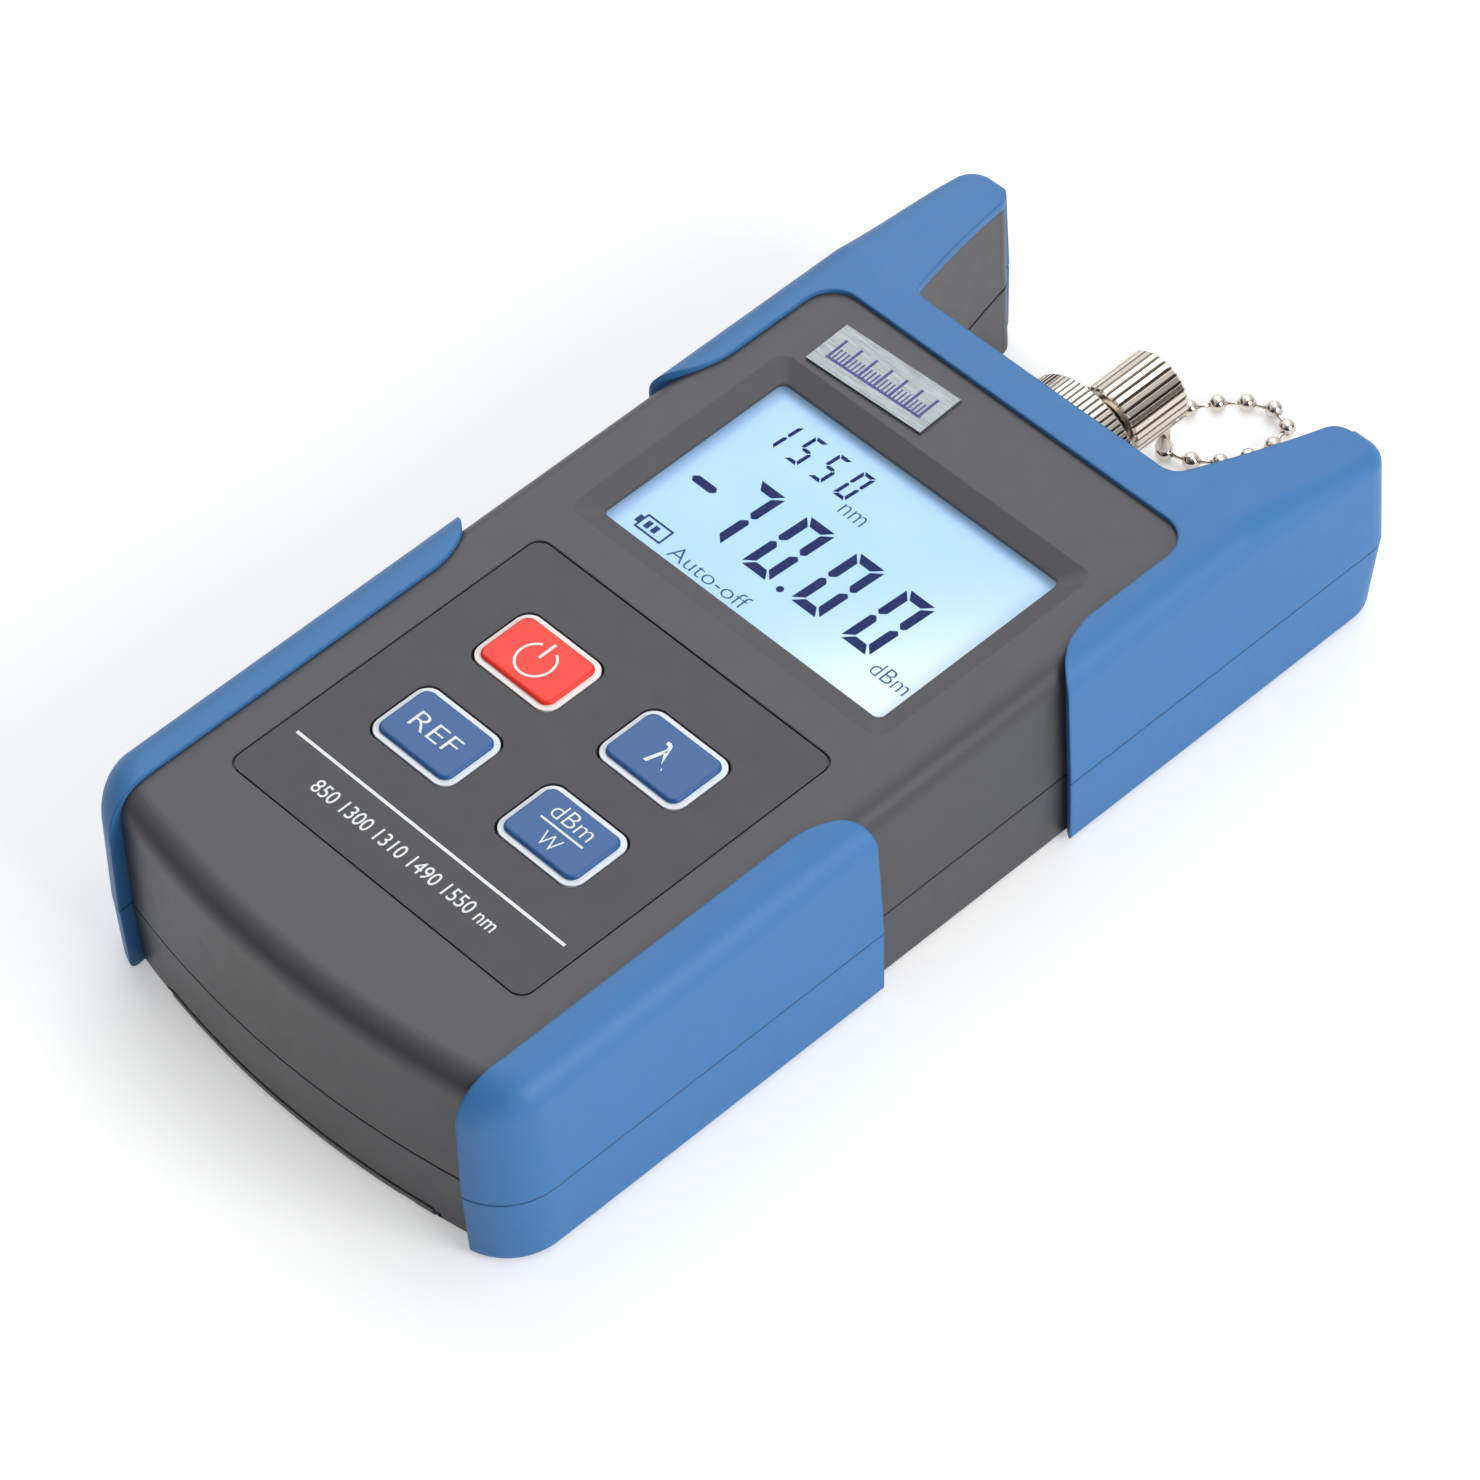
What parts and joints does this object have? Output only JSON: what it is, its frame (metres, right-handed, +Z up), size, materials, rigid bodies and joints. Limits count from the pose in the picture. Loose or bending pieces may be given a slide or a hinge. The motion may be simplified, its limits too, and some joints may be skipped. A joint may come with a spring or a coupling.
{
  "type": "optical power meter",
  "caption": "Handheld optical power meter with a backlit display, sprung keys, soft corner skins, a fibre port with a chained screw cap, and a sliding battery cover.",
  "frame": {"origin": "centre of the flat back that the meter rests on", "axes": "+X to the user's right, +Y towards the fibre port, +Z up out of the keypad face"},
  "size_m": [0.085, 0.1884, 0.035],
  "materials": {
    "grey_plastic": "fine satin grain",
    "blue_skin": "soft matt",
    "panel_film": "matt film",
    "key_blue": "glossy",
    "key_red": "glossy",
    "window_clear": "clear",
    "display_blue": "backlit",
    "light_white": "white",
    "frame_black": "matt",
    "rubber_black": "matt",
    "badge_silver": "satin",
    "board_green": "solder mask",
    "chip_black": "matt",
    "steel": "bright",
    "nickel": "bright nickel plate",
    "cell_wrap": "shrink sleeve"
  },
  "bodies": {
    "housing": {"upper_shell": "grey_plastic", "lower_shell": "grey_plastic", "crown_bumper": "blue_skin", "grip_upper_left": "blue_skin", "grip_upper_right": "blue_skin", "grip_lower_left": "blue_skin", "grip_lower_right": "blue_skin", "horn_lower_left": "blue_skin", "horn_lower_right": "blue_skin", "display_window": "window_clear", "display_glass": "display_blue", "display_light": "light_white", "display_frame": "frame_black", "contact_strips": "rubber_black", "keypad_panel": "panel_film", "key_switches": "steel", "badge_plate": "badge_silver", "main_board": "board_green", "board_chips": "chip_black", "board_screws": "steel", "case_screws": "steel", "battery_cells": "cell_wrap", "contact_plates": "steel", "contact_springs": "steel", "port_body": "nickel", "port_ring": "nickel", "detector": "steel", "tether_washer": "nickel", "ball_chain": "nickel"},
    "key_power": {"key_power": "key_red"},
    "key_reference": {"key_reference": "key_blue"},
    "key_wavelength": {"key_wavelength": "key_blue"},
    "key_unit": {"key_unit": "key_blue"},
    "cap_lug": {"cap_lug": "nickel"},
    "dust_cap": {"dust_cap": "nickel", "cap_seal": "rubber_black"},
    "battery_cover": {"battery_cover": "grey_plastic"}
  },
  "joints": [
    {"name": "key_power_press", "type": "slide", "parent": "housing", "child": "key_power", "axis": [0, 0, -1], "range_m": [0, 0.0005], "stiffness_N_per_m": 400},
    {"name": "key_reference_press", "type": "slide", "parent": "housing", "child": "key_reference", "axis": [0, 0, -1], "range_m": [0, 0.0005], "stiffness_N_per_m": 400},
    {"name": "key_wavelength_press", "type": "slide", "parent": "housing", "child": "key_wavelength", "axis": [0, 0, -1], "range_m": [0, 0.0005], "stiffness_N_per_m": 400},
    {"name": "key_unit_press", "type": "slide", "parent": "housing", "child": "key_unit", "axis": [0, 0, -1], "range_m": [0, 0.0005], "stiffness_N_per_m": 400},
    {"name": "cap_travel", "type": "slide", "parent": "housing", "child": "cap_lug", "axis": [0, 1, 0], "range_m": [0, 0.0093], "deforming": ["ball_chain"]},
    {"name": "cap_turn", "type": "hinge", "parent": "cap_lug", "child": "dust_cap", "pos_m": [0, 0.0724, 0.0164], "axis": [0, 1, 0], "range_deg": [0, 4440]},
    {"name": "cover_slide", "type": "slide", "parent": "housing", "child": "battery_cover", "axis": [0, -1, 0], "range_m": [0, 0.01]}
  ],
  "couplings": [
    {"joint": "cap_travel", "follows": "cap_turn", "m_per_rad": 0.00011937}
  ]
}
